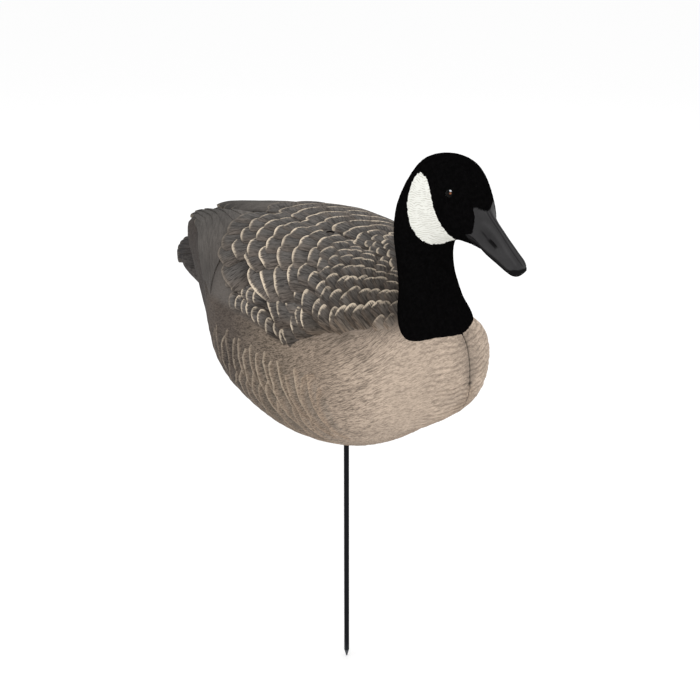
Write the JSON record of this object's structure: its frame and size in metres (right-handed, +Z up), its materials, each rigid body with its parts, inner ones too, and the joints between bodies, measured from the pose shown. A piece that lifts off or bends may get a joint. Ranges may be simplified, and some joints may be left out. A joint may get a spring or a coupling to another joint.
{
  "type": "goose field decoy",
  "caption": "Goose decoy with folded wings, carved feathers, black neck and head with white cheeks, standing on a pointed ground stake.",
  "frame": {"origin": "the point of the stake, on the stake's axis", "axes": "+Z up along the stake, +X towards the bill, +Y to the goose's left; the whole is symmetric about the plane y = 0"},
  "size_m": [0.538, 0.2924, 0.7274],
  "materials": {
    "painted_body": "matte painted feathers, grey-brown with cream edges, paler on breast and flank",
    "flocked_head": "short black flock on head and neck, off-white cheek patch, satin charcoal bill",
    "eye": "glossy very dark brown",
    "stake_rod": "dark grey satin coating"
  },
  "bodies": {
    "root": {"body": "painted_body", "head_and_neck": "flocked_head", "eye_left": "eye", "eye_right": "eye", "stake": "stake_rod"}
  },
  "joints": []
}
